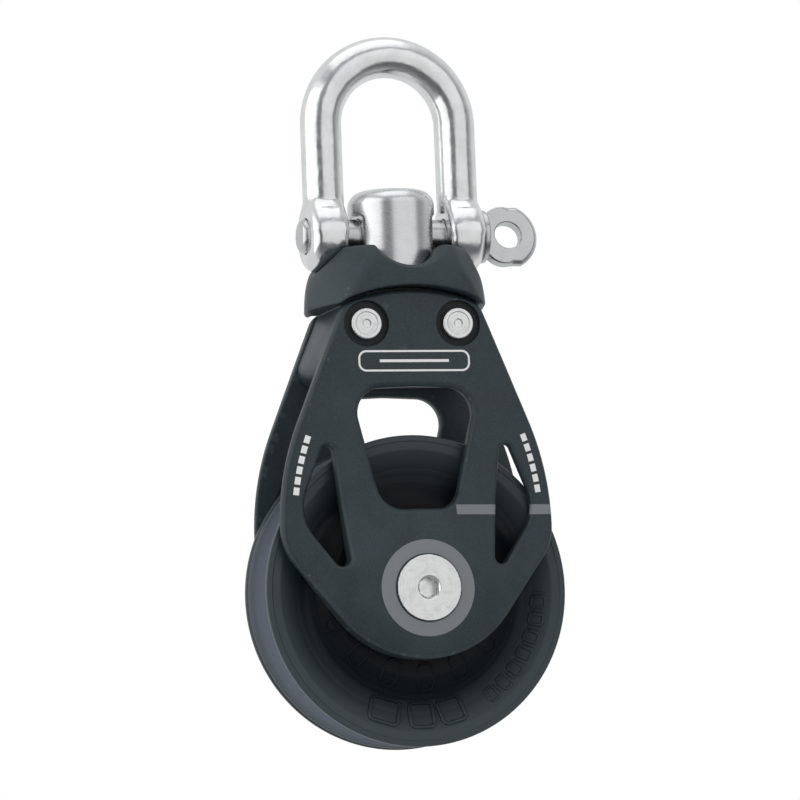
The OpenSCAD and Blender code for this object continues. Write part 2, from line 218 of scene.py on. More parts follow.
def surface_net(value, low, cell):
    """Points and four-sided faces of the surface where the grid of values crosses zero."""
    inside = value < 0
    shape = np.array(value.shape) - 1
    count = np.zeros(shape, np.int8)
    for corner in np.ndindex(2, 2, 2):
        count += inside[tuple(slice(c, c + n) for c, n in zip(corner, shape))]
    active = (count > 0) & (count < 8)
    place = np.argwhere(active)
    index = np.full(shape, -1, np.int64)
    index[active] = np.arange(len(place))
    total = np.zeros((len(place), 3))
    hits = np.zeros(len(place))
    for axis in range(3):
        along = np.eye(3, dtype=int)[axis]
        for corner in np.ndindex(2, 2, 2):
            if corner[axis]:
                continue
            start = place + corner
            a, b = value[tuple(start.T)], value[tuple((start + along).T)]
            crossed = (a < 0) != (b < 0)
            share = np.where(crossed, a / np.where(crossed, a - b, 1), 0)
            total += np.where(crossed[:, None], np.array(corner) + share[:, None] * along, 0)
            hits += crossed
    points = low + (place + total / hits[:, None]) * cell
    faces = []
    for axis in range(3):
        turned = np.moveaxis(inside, [axis, (axis + 1) % 3, (axis + 2) % 3], [0, 1, 2])
        cells = np.moveaxis(index, [axis, (axis + 1) % 3, (axis + 2) % 3], [0, 1, 2])
        near, far = turned[:-1, 1:-1, 1:-1], turned[1:, 1:-1, 1:-1]
        i, j, k = np.argwhere(near != far).T
        quad = np.stack([cells[i, j, k], cells[i, j + 1, k], cells[i, j + 1, k + 1], cells[i, j, k + 1]], 1)
        out = near[i, j, k]
        faces.append(np.where(out[:, None], quad, quad[:, ::-1]))
    return points, np.concatenate(faces)


# ---- Meshes ----


def make_mesh(name, points, faces, normals):
    """A smooth mesh with these points in millimetres, faces and point normals."""
    mesh = bpy.data.meshes.new(name)
    mesh.from_pydata((points * MM).tolist(), [], [list(f) for f in faces])
    mesh.polygons.foreach_set("use_smooth", [True] * len(mesh.polygons))
    mesh.normals_split_custom_set_from_vertices(normals.tolist())
    mesh.update()
    return mesh


def make_piece(name, mesh, body, nodes, material):
    """The mesh as a piece that rides on a body, replaces CAD nodes and has a material."""
    piece = bpy.data.objects.new(name, mesh)
    bpy.context.scene.collection.objects.link(piece)
    mesh.materials.append(material)
    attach(piece, body)
    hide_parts(*nodes)
    return piece


def make_solid(name, field, node, cell, keep, body, material):
    """A field's surface as the piece that replaces a CAD node, carved in the node's box."""
    low, high = box_mm(node)
    mesh = carved(name, field, low, high, cell, keep)
    return make_piece(name, mesh, body, [node], material)


def unit(vectors):
    """Each vector made one long."""
    return vectors / np.maximum(np.linalg.norm(vectors, axis=1), 1e-9)[:, None]


def thinned(mesh, keep):
    """The mesh's points and faces after collapsing it to a share of its triangles."""
    holder = bpy.data.objects.new("thinning", mesh)
    bpy.context.scene.collection.objects.link(holder)
    thin = holder.modifiers.new("thin", "DECIMATE")
    thin.ratio = keep
    made = bpy.data.meshes.new_from_object(holder.evaluated_get(bpy.context.evaluated_depsgraph_get()))
    points = np.array([v.co for v in made.vertices], float) / MM
    faces = [tuple(p.vertices) for p in made.polygons]
    bpy.data.objects.remove(holder)
    bpy.data.meshes.remove(mesh)
    bpy.data.meshes.remove(made)
    return points, faces


def carved(name, field, low, high, cell, keep=1.0):
    """Mesh of a field's surface inside a box, from a grid of that cell size."""
    cell = cell
    low, high = np.array(low, float) - 2 * cell, np.array(high, float) + 2 * cell
    axes = [np.arange(a, b + cell, cell) for a, b in zip(low, high)]
    points, faces = surface_net(field(*np.meshgrid(*axes, indexing="ij")), low, cell)
    points = settle(field, points, cell / 2)
    if keep < 1:
        mesh = make_mesh(name, points, faces, unit(gradient(field, points)))
        points, faces = thinned(mesh, keep)
        points = settle(field, points, cell / 4, 2)
    return make_mesh(name, points, faces, unit(gradient(field, points)))


def rounded(corners, steps=4):
    """Points and normals of a closed outline of (across, along, radius) corners, counter-clockwise."""
    made = []
    for i, (x, y, r) in enumerate(corners):
        here = np.array([x, y], float)
        back = np.array(corners[i - 1][:2], float) - here
        ahead = np.array(corners[(i + 1) % len(corners)][:2], float) - here
        back, ahead = back / np.linalg.norm(back), ahead / np.linalg.norm(ahead)
        normals = [np.array([-back[1], back[0]]), np.array([ahead[1], -ahead[0]])]
        half = math.acos(max(-1.0, min(1.0, float(back @ ahead)))) / 2
        if r == 0 or abs(half - math.pi / 2) < 1e-4:
            made += [(here, n) for n in normals]
            continue
        convex = normals[0][0] * normals[1][1] - normals[0][1] * normals[1][0] > 0
        middle = (back + ahead) / np.linalg.norm(back + ahead)
        centre = here + middle * r / math.sin(half)
        a0, a1 = (math.atan2(n[1], n[0]) for n in normals)
        turn = (a1 - a0 + math.pi) % (2 * math.pi) - math.pi
        for k in range(steps + 1):
            normal = np.array([math.cos(a0 + turn * k / steps), math.sin(a0 + turn * k / steps)])
            made.append((centre + normal * (r if convex else -r), normal))
    return made


def turned(profile, segments=160):
    """Points, faces and normals of a closed outline of (radius, along) points turned about the Y axis."""
    points, normals, faces, rings = [], [], [], []
    for s in range(segments):
        a = 2 * math.pi * s / segments
        ring = []
        for k, ((r, y), (nr, ny)) in enumerate(profile):
            if r < 1e-6 and s:
                ring.append(rings[0][k])
                continue
            ring.append(len(points))
            points.append((r * math.cos(a), y, r * math.sin(a)))
            normals.append((nr * math.cos(a), ny, nr * math.sin(a)))
        rings.append(ring)
    for s in range(segments):
        here, after = rings[s], rings[(s + 1) % segments]
        for k in range(len(profile)):
            ahead = (k + 1) % len(profile)
            start, end = profile[k][0], profile[ahead][0]
            if np.linalg.norm(start - end) > 1e-6 and max(start[0], end[0]) > 1e-6:
                corners = (here[k], here[ahead], after[ahead], after[k])
                faces.append(tuple(dict.fromkeys(corners)))
    return np.array(points), faces, np.array(normals)


def joined(parts):
    """Several (points, faces, normals) as one."""
    points, faces, normals, start = [], [], [], 0
    for p, f, n in parts:
        points.append(p)
        normals.append(n)
        faces += [tuple(i + start for i in face) for face in f]
        start += len(p)
    return np.concatenate(points), faces, np.concatenate(normals)


# ---- Cheeks ----

# The outer face slopes in beyond WING_X, and domes out to the boss round the axle
WING_X = 10.5
WING_SLOPE = math.tan(math.radians(5.5))
WING_SOFT = 1.3
DOME_FOOT_R = 13
DOME_RISE = BOSS_Y + 0.65 - CHEEK_OUT
DOME_R = (DOME_FOOT_R**2 + DOME_RISE**2) / (2 * DOME_RISE)
SCREW_GAP = 0.13
RACE_SEAT_R, RACE_SEAT_Y = 9.4, 8.4
TUBE_SEAT_R, TUBE_SEAT_Y = 5.02, 9.62


def cheek_field(side):
    """Field of the front (-1) or rear (1) cheek."""

    def field(x, y, z):
        out = side * y
        across = np.abs(x)
        r = np.hypot(x, z)
        wing = WING_SLOPE * WING_SOFT * np.log1p(np.exp((across - WING_X) / WING_SOFT))
        face = out - CHEEK_OUT + wing
        dome = np.hypot(r, out - (CHEEK_OUT + DOME_RISE - DOME_R)) - DOME_R
        dome = both(dome, out - BOSS_Y, 1.2)
        skin = either(face, dome, 2.5)
        body = both(belt(CHEEK_OUTLINE, x, z), skin, 0.75)
        body = both(body, CHEEK_IN - out, 0.3)
        body = less(body, belt(UPPER_WINDOW, x, z), 0.9)
        body = less(body, belt(SIDE_WINDOW, across, z), 0.7)
        bolt = np.hypot(across - RIVET_X, z - RIVET_Z)
        body = less(body, both(bolt - RIVET_RECESS_R, CHEEK_OUT - RIVET_RECESS - out), 0.22)
        body = less(body, bolt - RIVET_R - 0.05)
        race_seat = both(r - RACE_SEAT_R, out - RACE_SEAT_Y)
        tube_seat = both(r - TUBE_SEAT_R, out - TUBE_SEAT_Y)
        seats = np.minimum(race_seat, tube_seat)
        cone = (r - SCREW_HEAD_R - SCREW_GAP - out + SCREW_Y) / math.sqrt(2)
        return less(less(body, np.minimum(seats, r - SCREW_R - HAIR)), cone, 0.12)

    return field


def make_cheek(name, side, material):
    """One cheek."""
    low = np.array([-CHEEK_HALF_W, min(side * CHEEK_IN, side * BOSS_Y), CHEEK_BOTTOM])
    high = np.array([CHEEK_HALF_W, max(side * CHEEK_IN, side * BOSS_Y), CHEEK_TOP])
    mesh = carved(name, cheek_field(side), low, high, 0.24, 0.6)
    return make_piece(name + "_skin", mesh, "block", [name], material)


# ---- Head piece ----

HEAD_FOOT_Z = 41.2
SADDLE_Z = HEAD_FOOT_Z + 0.1
HEAD_R = 14.05
HEAD_LEAN, HEAD_CURVE = 0.167, 0.054
HEAD_BULGE_Z, HEAD_BULGE_R = 43, 11
POST_HOLE_R = 4.2
BUSHING_R, BUSHING_FLANGE_R, FLANGE_T = 5, 5.8, 0.8
NUT_ROOM_R, NUT_ROOM_TOP = 5.35, 37.03
SLEEVE_HOLE_R = 2.5


def head_side(r, z):
    """Distance from the head's round outer side, which leans in more and more towards the top."""
    up = np.maximum(z - HEAD_FOOT_Z, 0)
    lean = HEAD_LEAN + HEAD_CURVE * up
    return (r - HEAD_R + HEAD_LEAN * up + HEAD_CURVE / 2 * up**2) / np.sqrt(1 + lean**2)


def head_field(x, y, z):
    """Field of the head piece: a saddle with four notches, and the tongue between the cheeks."""
    across, deep = np.abs(x), np.abs(y)
    r = np.hypot(x, y)
    side_x = head_side(r, z)
    side_y = np.hypot(deep - HEAD_Y + HEAD_BULGE_R, np.maximum(z - HEAD_BULGE_Z, 0)) - HEAD_BULGE_R
    saddle = both(both(side_x, side_y, 0.5), belt(HEAD_PLAN, x, y), 0.8)
    saddle = both(both(saddle, z - HEAD_TOP, 0.3), SADDLE_Z - z, 0.35)
    room = both(belt(CHEEK_OUTLINE, x, z) - 0.5, CHEEK_IN - deep)
    saddle = less(saddle, room, 0.3)
    for along, side in ((y, side_x), (x, side_y)):
        notch = EAR_R + 0.1 - np.hypot(along, z - PIN_Z)
        saddle = both(saddle, notch, 0.2)
        saddle = both(saddle, bevel(side, notch, 0.55), 0.12)
    tongue = both(belt(TONGUE, x, z), deep - CHEEK_IN, 0.4)
    body = either(saddle, tongue, 0.2)
    body = less(body, both(r - DRUM_R - 0.25, DRUM_FOOT_Z - z), 0.25)
    body = less(body, both(r - BUSHING_FLANGE_R, DRUM_FOOT_Z - FLANGE_T - z))
    body = less(body, both(r - BUSHING_R, HEAD_FOOT_Z - z))
    body = less(body, both(r - NUT_ROOM_R, z - NUT_ROOM_TOP))
    body = less(body, r - POST_HOLE_R)
    return less(body, np.hypot(across - RIVET_X, z - RIVET_Z) - SLEEVE_HOLE_R)


# ---- Swivel post ----

DRUM_CROWN_R = 38
DRUM_GAP = 0.03
POST_PIN_GAP = 0.06
SHANK_R = 4
FLAT_X, FLAT_Z, FLAT_R, FLAT_HALF_W = 5.3, 50.6, 4.5, 1.5


def post_field(x, y, z):
    """Field of the post: a drum with two flats and the pin's hole, on a plain shank."""
    r = np.hypot(x, y)
    crown = np.hypot(r, z - DRUM_TOP + DRUM_CROWN_R) - DRUM_CROWN_R
    drum = both(both(r - DRUM_R, crown, 1.9), DRUM_FOOT_Z + DRUM_GAP - z, 0.3)
    slot_end = np.hypot(np.maximum(np.abs(y) - FLAT_HALF_W, 0), z - FLAT_Z) - FLAT_R
    drum = less(drum, both(FLAT_X - np.abs(x), slot_end, 0.2), 0.25)
    shank = both(r - SHANK_R, POST_FOOT - z, 0.3)
    post = either(drum, both(shank, z - DRUM_FOOT_Z - 1), 0.2)
    return less(post, np.hypot(y, z - PIN_Z) - PIN_R - POST_PIN_GAP, 0.3)


# ---- Shackle ----

ROD_FOOT = 3.2
# The legs swell down to the ears, by SWELL_RATE times the square of the way down from SWELL_TOP
SWELL_TOP, SWELL_RATE, SWELL_FLAT = 8.2, 0.062, 1.2
EAR_PIN_GAP = 0.08
COLLAR_R, COLLAR_T, COLLAR_GAP = 3.9, 0.95, 0.06


def bow_field(x, y, z):
    """Field of the shackle: a forged rod bent over, with a round ear at each end."""
    across = np.abs(x)
    up = np.maximum(z - BOW_Z, 0)
    rod = np.hypot(np.hypot(across, up) - LEG_X, y) - ROD_R
    rod = both(rod, PIN_Z + ROD_FOOT - z, 0.4)
    drop = np.maximum(PIN_Z + SWELL_TOP - z, 0)
    swell = np.hypot(across - LEG_X, SWELL_FLAT * y) - (ROD_R - HAIR + SWELL_RATE * drop**2)
    shoulder = both(swell / SWELL_FLAT, z - PIN_Z - SWELL_TOP + 0.2, 0.2)
    middle = (EAR_IN + EAR_OUT) / 2
    ear = np.hypot(y, z - PIN_Z) - EAR_R + 0.06 * (across - middle) ** 2
    hub = both(shoulder, PIN_Z - z)
    hub = both(hub, np.abs(y) - EAR_R + 0.5, 0.5)
    ear = either(ear, hub, 0.8)
    ear = both(both(ear, across - EAR_OUT, 1.3), EAR_IN - across, 0.9)
    # Nothing wider than the ear may enter the head's notch when the shackle swings
    swept = both(EAR_R - np.hypot(y, z - PIN_Z), 0.7 * (z - PIN_Z - np.abs(y)))
    body = less(either(rod, ear, 0.1), swept, 0.1)
    return less(body, np.hypot(y, z - PIN_Z) - PIN_R - EAR_PIN_GAP, 0.3)


def pin_field(x, y, z):
    """Field of the shackle pin, with its collar and its flat eye."""
    r = np.hypot(y, z - PIN_Z)
    shank = both(both(r - PIN_R, PIN_START - x, 0.9), x - EAR_OUT - 0.5)
    collar = both(both(r - COLLAR_R, EAR_OUT + COLLAR_GAP - x, 0.2), x - EAR_OUT - COLLAR_T, 0.3)
    up = (z - PIN_Z) * math.cos(EYE_TURN) - y * math.sin(EYE_TURN)
    out = (z - PIN_Z) * math.sin(EYE_TURN) + y * math.cos(EYE_TURN)
    outline = belt(EYE_OUTLINE, x, up)
    side = np.abs(out) - EYE_T / 2
    plate = both(outline, side, 0.25)
    plate = both(plate, bevel(outline, side, 0.55 * np.clip(x - 17, 0, 1)), 0.15)
    plate = less(plate, np.hypot(x - EYE_X, up) - EYE_HOLE_R, 0.22)
    return either(either(shank, collar, 0.25), plate, 0.35)


# ---- Axle screws ----

SOCKET_HALF_W, SOCKET_DEPTH, SOCKET_MOUTH_R = 1.4, 1.8, 1.72


def screw_field(side):
    """Field of the front (-1) or rear (1) axle screw, with its hexagon socket."""

    def field(x, y, z):
        out = side * y
        r = np.hypot(x, z)
        cone = (r - SCREW_HEAD_R - (out - SCREW_Y)) / math.sqrt(2)
        head = both(both(cone, out - SCREW_Y, 0.12), r - SCREW_HEAD_R + 0.04, 0.1)
        shank = both(r - SCREW_R + 0.05, out - SCREW_Y + 1)
        body = both(np.minimum(head, shank), 1 - out, 0.3)
        hexagon = np.full(np.shape(x), -FAR)
        for a in np.radians([0, 60, 120]):
            hexagon = np.maximum(hexagon, np.abs(x * math.cos(a) + z * math.sin(a)) - SOCKET_HALF_W)
        socket = both(hexagon, SCREW_Y - SOCKET_DEPTH - out)
        mouth = (r - SOCKET_MOUTH_R - (out - SCREW_Y)) / math.sqrt(2)
        return less(less(body, socket, 0.05), mouth, 0.06)

    return field


def make_screw(name, side, material):
    """One axle screw."""
    low = np.array([-SCREW_HEAD_R, min(side, side * SCREW_Y), -SCREW_HEAD_R])
    high = np.array([SCREW_HEAD_R, max(side, side * SCREW_Y), SCREW_HEAD_R])
    mesh = carved(name, screw_field(side), low, high, 0.13)
    return make_piece(name + "_body", mesh, "block", [name], material)


# ---- Turned pieces ----


def rivet_parts():
    """The two rivets: shanks with a shallow ring and a dimple in each head."""
    head_y = CHEEK_OUT - RIVET_RECESS
    half = [
        (RIVET_R, head_y, 0.02), (RIVET_HEAD_R, head_y, 0.08), (RIVET_HEAD_R, CHEEK_OUT, 0.25),
        (1.72, CHEEK_OUT, 0.06), (1.6, CHEEK_OUT - 0.06, 0.06), (1.45, CHEEK_OUT - 0.03, 0.1),
        (0.7, CHEEK_OUT - 0.03, 0.1), (0.45, CHEEK_OUT - 0.12, 0.12), (0, CHEEK_OUT - 0.14, 0),
    ]
    mirrored = [(r, -y, c) for r, y, c in half[::-1]]
    made = []
    for side in (-1, 1):
        points, faces, normals = turned(rounded(half + mirrored), 96)
        made.append((points + [side * RIVET_X, 0, RIVET_Z], faces, normals))
    return joined(made)


# Half of the sheave's section, as corners (radius, distance from the middle plane, rounding)
HUB_Y = 5.9
SHEAVE_FACE = [
    (6.4, HUB_Y, 0.15), (7.2, HUB_Y, 0.1), (7.9, 5.7, 1.0), (8.6, HUB_Y, 0.1), (12.5, HUB_Y, 0.35),
    (13.5, 5.55, 0.9), (14.9, 4.8, 1.2), (16.3, 4.3, 2.0), (17.8, 4.75, 2.0), (20.4, 5.85, 1.6),
    (SHEAVE_R - 0.95, RIM_Y - 0.08, 0.15),
]
SHEAVE_RIM = [
    (SHEAVE_R - 0.8, RIM_Y, 0.05), (SHEAVE_R - 0.12, RIM_Y, 0.1), (SHEAVE_R, RIM_Y - 0.2, 0.1),
    (SHEAVE_R, RIM_Y - 0.75, 0.1), (SHEAVE_R - 0.18, RIM_Y - 0.9, 0.08), (SHEAVE_R - 0.25, 4.15, 0.25),
]
# The rope groove is an arc, GROOVE_END degrees each way, made of corners GROOVE_STEP degrees apart
GROOVE_R, GROOVE_HALF_W = 4.3, 4.36
GROOVE_BOTTOM = 16.2
GROOVE_END, GROOVE_STEP = 66, 12
# Moulded marks: where they stand along the radius, how thick their beads are, and their places in degrees
SLOT_R, SLOT_BEAD = 12.5, 0.19
SLOT_MIDDLE, SLOT_STEP = 4, 24.5
BOX_R, BOX_BEAD = 17.9, 0.29
BOXES = ((-17, 2.2), (1, 1.75), (15.5, 1.75))  # (degrees, half width)
ROW_R, ROW_BEAD = 18.6, 0.2
ROW_START, ROW_END, ROW_STEP = 36, 86, 8


def face_height(r):
    """How far the sheave's side face is from its middle plane at radius r."""
    return float(np.interp(r, [p[0] for p in SHEAVE_FACE], [p[1] for p in SHEAVE_FACE]))


def bead(path, radius, side):
    """A low round bead along (x, z) points on the sheave's side face, closed or with round ends."""
    spots = [np.array([x, side * (face_height(math.hypot(x, z)) + 0.02), z]) for x, z in path]
    closed = np.linalg.norm(spots[0] - spots[-1]) < 1e-6
    spots = spots[:-1] if closed else spots
    count, ring = len(spots), 8
    points, normals, faces = [], [], []
    for i, spot in enumerate(spots):
        before = spots[i - 1] if closed or i else spot
        after = spots[(i + 1) % count] if closed or i < count - 1 else spot
        ahead = (after - before) / np.linalg.norm(after - before)
        sideways = np.cross(ahead, [0, side, 0])
        sideways /= np.linalg.norm(sideways)
        up = np.cross(sideways, ahead)
        small = 0.35 if not closed and i in (0, count - 1) else 1.0
        for k in range(ring):
            a = 2 * math.pi * k / ring
            normal = sideways * math.cos(a) + up * math.sin(a)
            points.append(spot + normal * radius * small)
            normals.append(normal)
    for i in range(count if closed else count - 1):
        for k in range(ring):
            a, b = i * ring, (i + 1) % count * ring
            faces.append((a + k, b + k, b + (k + 1) % ring, a + (k + 1) % ring))
    if not closed:
        faces.append(tuple(range(ring)))
        faces.append(tuple(range((count - 1) * ring, count * ring))[::-1])
    return np.array(points), faces, np.array(normals)


def polar(r, degrees):
    """The (x, z) point at radius r and an angle measured from straight down, to the right."""
    a = math.radians(degrees)
    return (r * math.sin(a), -r * math.cos(a))


def box_path(r, degrees, half_length, half_width, corner):
    """A closed path, half_length each way along the radius and half_width across it, with round corners."""
    out = np.array(polar(1, degrees))
    across = np.array([-out[1], out[0]])
    path = []
    for k in range(4):
        for a in np.radians(np.linspace(90 * k, 90 * k + 90, 7)):
            way = math.copysign(half_length - corner, (1, -1, -1, 1)[k]) + corner * math.cos(a)
            side = math.copysign(half_width - corner, (1, 1, -1, -1)[k]) + corner * math.sin(a)
            path.append(tuple(out * (r + way) + across * side))
    return path + path[:1]


def tick_path(r, degrees, half_length):
    """An open path along the radius."""
    return [polar(r + half_length * (k / 2 - 1), degrees) for k in range(5)]


def sheave_marks(side):
    """Moulded beads on one face: slots round the hub, three boxes in the dish and a row of small marks."""
    made = []
    for k in range(-3, 4):
        slot = box_path(SLOT_R, SLOT_MIDDLE + k * SLOT_STEP, 1.95, 1.15, 1.1)
        made.append(bead(slot, SLOT_BEAD, side))
    for a, half_width in BOXES:
        made.append(bead(box_path(BOX_R, a, 1.75, half_width, 0.7), BOX_BEAD, side))
    for a in range(ROW_START, ROW_END, ROW_STEP):
        made.append(bead(box_path(ROW_R, a, 0.95, 0.75, 0.35), ROW_BEAD, side))
        made.append(bead(tick_path(ROW_R, a + ROW_STEP / 2, 0.95), ROW_BEAD, side))
    return made


def sheave_parts():
    """The sheave: one turned body, and the beads on both faces."""
    groove = []
    for degrees in range(GROOVE_END, -GROOVE_END - 1, -GROOVE_STEP):
        a = math.radians(degrees)
        rounding = 1.7 if abs(degrees) == GROOVE_END else 4.1
        radius = GROOVE_BOTTOM + GROOVE_R * (1 - math.cos(a))
        groove.append((radius, GROOVE_HALF_W * math.sin(a), rounding))
    half = SHEAVE_FACE + SHEAVE_RIM
    outline = half + groove + [(r, -y, c) for r, y, c in half[::-1]]
    body = turned(rounded(outline[::-1], 3), 240)
    return joined([body] + sheave_marks(-1) + sheave_marks(1))


# ---- Shader values ----


class Value:
    """A number in a material's node tree, with Python's arithmetic."""

    def __init__(self, tree, socket):
        self.tree, self.socket = tree, socket

    def math(self, operation, *others):
        """A math node on this value and the others."""
        node = self.tree.nodes.new("ShaderNodeMath")
        node.operation = operation
        for place, value in zip(node.inputs, (self, *others)):
            if isinstance(value, Value):
                self.tree.links.new(value.socket, place)
            else:
                place.default_value = value
        return Value(self.tree, node.outputs[0])

    def __add__(self, other):
        return self.math("ADD", other)

    def __sub__(self, other):
        return self.math("SUBTRACT", other)

    def __mul__(self, other):
        return self.math("MULTIPLY", other)

    def __truediv__(self, other):
        return self.math("DIVIDE", other)

    def __abs__(self):
        return self.math("ABSOLUTE")

    def least(self, other):
        """The lower of the two."""
        return self.math("MINIMUM", other)

    def most(self, other):
        """The higher of the two."""
        return self.math("MAXIMUM", other)

    def fraction(self):
        """What is left over a whole number."""
        return self.math("FRACT")

    def length(self, other):
        """Length of the vector that the two values make."""
        return (self * self + other * other).math("SQRT")

    def ranged(self, low, high, to_low=0.0, to_high=1.0):
        """The value mapped smoothly from low..high to to_low..to_high."""
        node = self.tree.nodes.new("ShaderNodeMapRange")
        node.interpolation_type = "SMOOTHSTEP"
        self.tree.links.new(self.socket, node.inputs["Value"])
        limits = {"From Min": low, "From Max": high, "To Min": to_low, "To Max": to_high}
        for name, value in limits.items():
            node.inputs[name].default_value = value
        return Value(self.tree, node.outputs["Result"])

    def inside(self, soft=0.05):
        """1 where the value is below zero and 0 above it."""
        return self.ranged(-soft, soft, 1.0, 0.0)


class Finish:
    """A Principled material whose sockets take plain numbers or shader values.

    Its x, y and z are the surface's place in the frame, in millimetres.
    """

    def __init__(self, name, **sockets):
        self.material = bpy.data.materials.new(name)
        self.material.use_nodes = True
        self.tree = self.material.node_tree
        self.surface = self.tree.nodes["Principled BSDF"]
        for socket, value in sockets.items():
            self.surface.inputs[socket.replace("_", " ")].default_value = value
        self.place = self.tree.nodes.new("ShaderNodeTexCoord").outputs["Object"]
        split = self.tree.nodes.new("ShaderNodeSeparateXYZ")
        self.tree.links.new(self.place, split.inputs[0])
        self.x, self.y, self.z = (Value(self.tree, split.outputs[i]) * (1 / MM) for i in range(3))

    def noise(self, size, detail=3.0, stretch=(1, 1, 1)):
        """Noise whose features are about size millimetres across, stretched along the axes."""
        mapping = self.tree.nodes.new("ShaderNodeMapping")
        mapping.inputs["Scale"].default_value = [1 / s for s in stretch]
        self.tree.links.new(self.place, mapping.inputs["Vector"])
        node = self.tree.nodes.new("ShaderNodeTexNoise")
        node.inputs["Scale"].default_value = 1 / (size * MM)
        node.inputs["Detail"].default_value = detail
        self.tree.links.new(mapping.outputs["Vector"], node.inputs["Vector"])
        return Value(self.tree, node.outputs[0])

    def rings(self, radius, size):
        """Noise that depends only on a radius, as turning marks do."""
        node = self.tree.nodes.new("ShaderNodeTexNoise")
        node.noise_dimensions = "1D"
        node.inputs["Scale"].default_value = 1 / size
        self.tree.links.new(radius.socket, node.inputs["W"])
        return Value(self.tree, node.outputs[0])

    def edges(self, low, high):
        """0 on flats and 1 on sharp convex edges."""
        geometry = self.tree.nodes.new("ShaderNodeNewGeometry")
        return Value(self.tree, geometry.outputs["Pointiness"]).ranged(low, high)

    def colour(self, base, *layers):
        """Base colour, with each (share, colour) laid over it."""
        below = None
        for share, over in layers:
            mix = self.tree.nodes.new("ShaderNodeMix")
            mix.data_type = "RGBA"
            self.tree.links.new(share.socket, mix.inputs["Factor"])
            if below is None:
                mix.inputs["A"].default_value = (*base, 1)
            else:
                self.tree.links.new(below, mix.inputs["A"])
            mix.inputs["B"].default_value = (*over, 1)
            below = mix.outputs["Result"]
        self.tree.links.new(below, self.surface.inputs["Base Color"])

    def drive(self, socket, value):
        """A shader value on one of the surface's sockets."""
        self.tree.links.new(value.socket, self.surface.inputs[socket])

    def bump(self, *layers):
        """Relief from (height value, depth in millimetres) layers."""
        below = None
        for height, depth in layers:
            node = self.tree.nodes.new("ShaderNodeBump")
            node.inputs["Distance"].default_value = depth * MM
            self.tree.links.new(height.socket, node.inputs["Height"])
            if below is not None:
                self.tree.links.new(below, node.inputs["Normal"])
            below = node.outputs["Normal"]
        self.tree.links.new(below, self.surface.inputs["Normal"])


# ---- Materials ----


def toned(colour, factor, lift=0.0):
    """The colour made darker or lighter by a factor, and lifted."""
    return tuple(c * factor + lift for c in colour)


def anodised(name, base, printed=False):
    """Dark hard-anodised alloy: fine matt grain, slow patches, a painted highlight on sharp edges and
    painted shade in the rivet recesses.
    """
    finish = Finish(name, Specular_IOR_Level=0.36)
    grain = finish.noise(0.16, 2)
    patches = finish.noise(7, 4)
    # Paler tone used both for the grain and for the painted highlight along sharp edges
    pale_grain_and_edge_highlight = toned(base, 2.6, 0.02)
    layers = [
        (patches.ranged(0.35, 0.7), toned(base, 1.35)),
        (grain.ranged(0.45, 0.8, 0, 0.35), pale_grain_and_edge_highlight),
        # Painted highlight: sharp convex edges made paler through pointiness
        (finish.edges(0.55, 0.64) * grain.ranged(0.3, 0.6, 0.15, 0.5), pale_grain_and_edge_highlight),
    ]
    if printed:
        grey, white = front_print(finish)
        layers.append((grey * grain.ranged(0.2, 0.5, 0.9, 1), (0.195, 0.21, 0.22)))
        layers.append((white, (0.82, 0.82, 0.82)))
    # Painted shade: the floors of the rivet recesses darkened nearly to black
    painted_recess_shade = (abs(finish.x) - RIVET_X).length(finish.z - RIVET_Z) - RIVET_RECESS_R
    painted_recess_shade = painted_recess_shade.most(abs(finish.y) - CHEEK_OUT + 0.15)
    layers.append((painted_recess_shade.inside(0.04), toned(base, 0.2)))
    finish.colour(base, *layers)
    finish.drive("Roughness", patches.ranged(0.3, 0.7, 0.40, 0.5))
    finish.bump((grain, 0.012), (finish.noise(1.2, 3), 0.01))
    return finish.material


RING_R, STRIPE_Z, BAR_Z = 5.95, 11.3, 32.95
DASH_STEP = 2.3
DASH_LINE_R = CHEEK_FLANK_R - 1.9


def front_print(finish):
    """Masks of the grey and the white print on the front cheek: plain shapes with no lettering."""
    across = abs(finish.x)
    front = (finish.y + CHEEK_OUT - 1.3).inside(0.02)
    ring = abs(finish.x.length(finish.z) - RING_R) - 1.0
    stripe = (finish.x * -1 + 5.2).most(abs(finish.z - STRIPE_Z) - 0.72)
    grey = ring.least(stripe).inside(0.03) * front
    bar_x = (across - 7.2).most(0.0)
    bar_z = (abs(finish.z - BAR_Z) - 0.35).most(0.0)
    bar = abs(bar_x.length(bar_z) - 1.05) - 0.14
    core = (across - 5.2).most(abs(finish.z - BAR_Z) - 0.2)
    flank_x, flank_z = across + (CHEEK_FLANK_R - CHEEK_HALF_W), finish.z - CHEEK_WIDEST_Z
    line = abs(flank_x.length(flank_z) - DASH_LINE_R) - 0.42
    turn = flank_z.math("ARCTAN2", flank_x) * math.degrees(1)
    dash = abs((turn / DASH_STEP).fraction() - 0.5) - 0.36
    span = abs(turn - 6 * DASH_STEP) - 3 * DASH_STEP
    dashes = line.most(span).most(dash * 1.5)
    return grey, bar.least(core).least(dashes).inside(0.03) * front


def polished_steel():
    """Bright tumbled stainless steel with soft ripples and hairline scratches."""
    finish = Finish("polished_steel", Metallic=1.0)
    ripples = finish.noise(3.2, 2)
    hair = finish.noise(0.1, 3, (1, 1, 14))
    finish.colour(
        (0.84, 0.84, 0.835),
        (ripples.ranged(0.35, 0.7), (0.77, 0.775, 0.77)),
        (hair.ranged(0.6, 0.8, 0, 0.4), (0.66, 0.66, 0.65)),
    )
    finish.drive("Roughness", finish.noise(1.4, 3).ranged(0.3, 0.7, 0.16, 0.27))
    finish.bump((ripples, 0.09), (finish.noise(0.9, 3), 0.012), (hair, 0.0008))
    return finish.material


